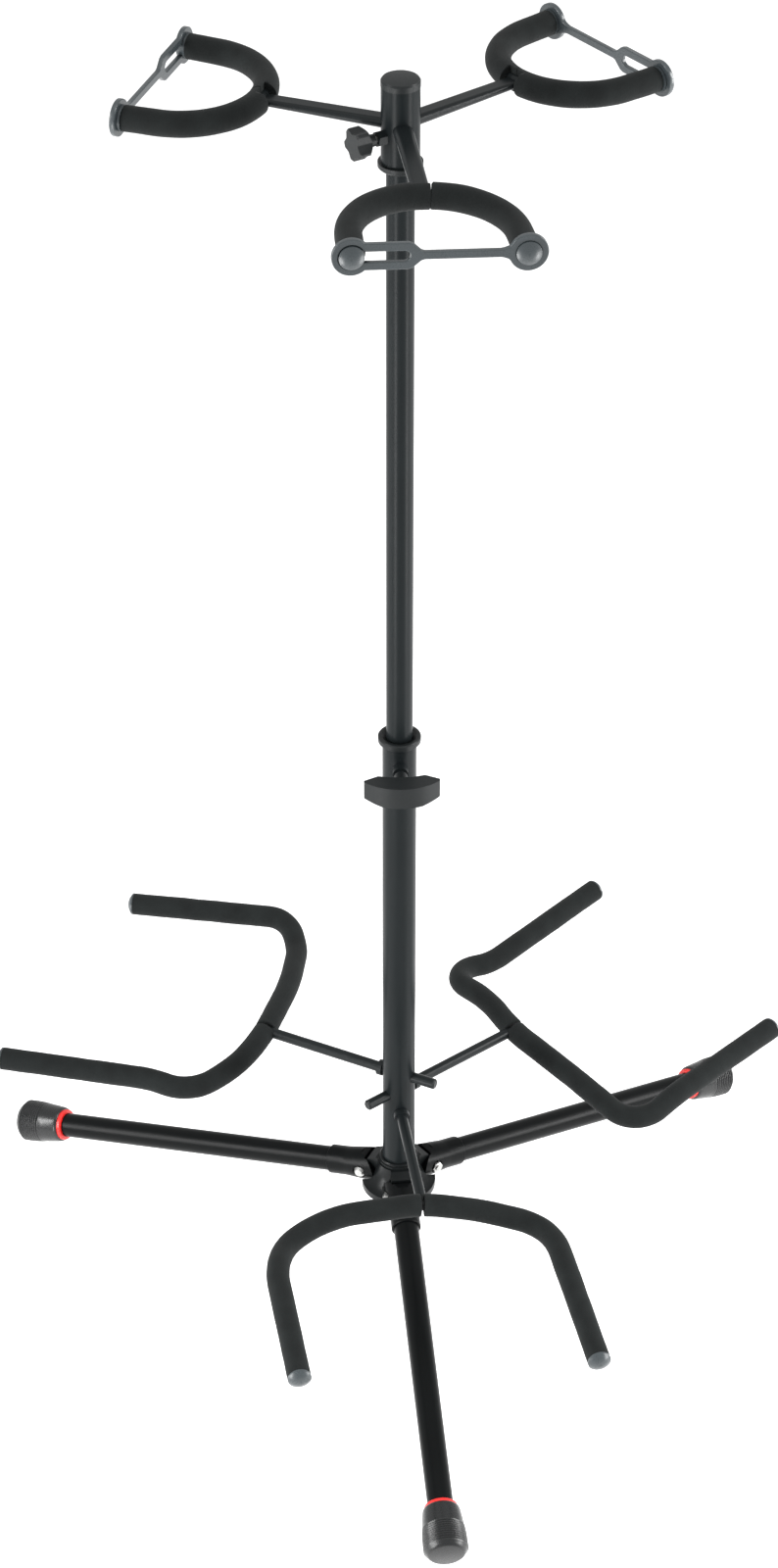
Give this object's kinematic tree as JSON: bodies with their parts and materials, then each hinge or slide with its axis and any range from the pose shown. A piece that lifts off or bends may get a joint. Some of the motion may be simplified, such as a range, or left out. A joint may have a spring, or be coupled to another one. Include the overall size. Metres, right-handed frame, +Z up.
{
  "type": "guitar stand",
  "caption": "Folding floor stand for several guitars: telescopic mast, tripod legs, foam-covered body cradles and neck yokes with closing straps on a swivel head.",
  "frame": {"origin": "where the mast's axis meets the floor plane, level with the soles of the feet", "axes": "+Z up the mast; the front leg points along -Y and the other two legs 120 degrees to each side"},
  "size_m": [0.7083, 0.685, 1.177],
  "materials": {
    "mast_paint": "satin dark graphite",
    "hub_paint": "satin black",
    "leg_paint": "gloss black",
    "rod_paint": "satin black",
    "zinc_steel": "zinc plated",
    "black_plastic": "fine texture",
    "grey_plastic": "smooth satin",
    "foam": "matt closed-cell foam",
    "foot_rubber": "matt, finely ribbed",
    "red_plastic": "bright red"
  },
  "bodies": {
    "base": {"hub": "hub_paint", "lower_tube": "mast_paint", "base_ring": "hub_paint", "mast_bush": "black_plastic", "clamp_boss": "mast_paint", "leg_pivot_bolts": "zinc_steel", "leg_pivot_nuts": "zinc_steel"},
    "leg_front": {"leg_bracket_front": "leg_paint", "leg_tube_front": "leg_paint", "red_ring_front": "red_plastic", "rubber_foot_front": "foot_rubber"},
    "leg_right": {"leg_bracket_right": "leg_paint", "leg_tube_right": "leg_paint", "red_ring_right": "red_plastic", "rubber_foot_right": "foot_rubber"},
    "leg_left": {"leg_bracket_left": "leg_paint", "leg_tube_left": "leg_paint", "red_ring_left": "red_plastic", "rubber_foot_left": "foot_rubber"},
    "mast": {"upper_tube": "mast_paint", "tube_glide": "black_plastic"},
    "head": {"head_tube": "mast_paint", "head_bush": "black_plastic", "head_cap": "black_plastic", "head_nut": "mast_paint", "yoke_frame_front": "rod_paint", "yoke_foam_front_r": "foam", "yoke_foam_front_l": "foam", "yoke_buttons_front": "grey_plastic", "strap_anchor_front": "grey_plastic", "yoke_frame_right": "rod_paint", "yoke_foam_right_r": "foam", "yoke_foam_right_l": "foam", "yoke_buttons_right": "grey_plastic", "strap_anchor_right": "grey_plastic", "yoke_frame_left": "rod_paint", "yoke_foam_left_r": "foam", "yoke_foam_left_l": "foam", "yoke_buttons_left": "grey_plastic", "strap_anchor_left": "grey_plastic"},
    "clamp_screw": {"clamp_screw": "zinc_steel"},
    "clamp_knob": {"clamp_knob": "black_plastic"},
    "head_screw": {"head_screw": "zinc_steel"},
    "star_knob": {"star_knob": "black_plastic"},
    "strap_front": {"neck_strap_front": "grey_plastic"},
    "strap_right": {"neck_strap_right": "grey_plastic"},
    "strap_left": {"neck_strap_left": "grey_plastic"},
    "cradle_front": {"cradle_rod_front": "rod_paint", "cradle_foam_front_r": "foam", "cradle_foam_front_l": "foam", "cradle_caps_front": "grey_plastic"},
    "cradle_right": {"cradle_rod_right": "rod_paint", "cradle_foam_right_r": "foam", "cradle_foam_right_l": "foam", "cradle_caps_right": "grey_plastic"},
    "cradle_left": {"cradle_rod_left": "rod_paint", "cradle_foam_left_r": "foam", "cradle_foam_left_l": "foam", "cradle_caps_left": "grey_plastic"}
  },
  "joints": [
    {"name": "leg_front_fold", "type": "hinge", "parent": "base", "child": "leg_front", "pos_m": [0, -0.0326, 0.097], "axis": [1, 0, 0], "range_deg": [0, 75]},
    {"name": "leg_right_fold", "type": "hinge", "parent": "base", "child": "leg_right", "pos_m": [0.0278, 0.01703, 0.097], "axis": [-0.5225, 0.8526, 0], "range_deg": [0, 75]},
    {"name": "leg_left_fold", "type": "hinge", "parent": "base", "child": "leg_left", "pos_m": [-0.0278, 0.01703, 0.097], "axis": [-0.5225, -0.8526, 0], "range_deg": [0, 75]},
    {"name": "mast_height", "type": "slide", "parent": "base", "child": "mast", "axis": [0, 0, 1], "range_m": [-0.24, 0.04]},
    {"name": "head_swivel", "type": "hinge", "parent": "mast", "child": "head", "pos_m": [0, 0, 1.139], "axis": [0, 0, 1], "continuous": true},
    {"name": "clamp_screw_feed", "type": "slide", "parent": "base", "child": "clamp_screw", "axis": [-0.0523, -0.9986, 0], "range_m": [0, 0.002]},
    {"name": "clamp_screw_turn", "type": "hinge", "parent": "clamp_screw", "child": "clamp_knob", "pos_m": [-0.00262, -0.04993, 0.5525], "axis": [-0.0523, -0.9986, 0], "range_deg": [0, 720]},
    {"name": "head_screw_feed", "type": "slide", "parent": "head", "child": "head_screw", "axis": [-0.9135, -0.4067, 0], "range_m": [0, 0.002]},
    {"name": "head_screw_turn", "type": "hinge", "parent": "head_screw", "child": "star_knob", "pos_m": [-0.04568, -0.02034, 1.131], "axis": [-0.9135, -0.4067, 0], "range_deg": [0, 720]},
    {"name": "strap_front_swing", "type": "hinge", "parent": "head", "child": "strap_front", "pos_m": [0.05136, -0.20085, 1.13516], "axis": [0.0418, 0.0015, 0.9991], "range_deg": [0, 90]},
    {"name": "strap_right_swing", "type": "hinge", "parent": "head", "child": "strap_right", "pos_m": [0.14748, 0.14571, 1.14], "axis": [0, 0, 1], "range_deg": [0, 90]},
    {"name": "strap_left_swing", "type": "hinge", "parent": "head", "child": "strap_left", "pos_m": [-0.2013, 0.04962, 1.13923], "axis": [-0.0077, -0.0157, 0.9998], "range_deg": [0, 90]},
    {"name": "cradle_front_pull", "type": "slide", "parent": "base", "child": "cradle_front", "axis": [0.0506, -0.9986, -0.0175], "range_m": [0, 0.04]},
    {"name": "cradle_right_pull", "type": "slide", "parent": "base", "child": "cradle_right", "axis": [0.8377, 0.5461, -0.0035], "range_m": [0, 0.04]},
    {"name": "cradle_left_pull", "type": "slide", "parent": "base", "child": "cradle_left", "axis": [-0.8508, 0.5255, 0.007], "range_m": [0, 0.04]}
  ],
  "couplings": [
    {"joint": "clamp_screw_feed", "follows": "clamp_screw_turn", "m_per_rad": 0.00015915},
    {"joint": "head_screw_feed", "follows": "head_screw_turn", "m_per_rad": 0.00015915}
  ]
}
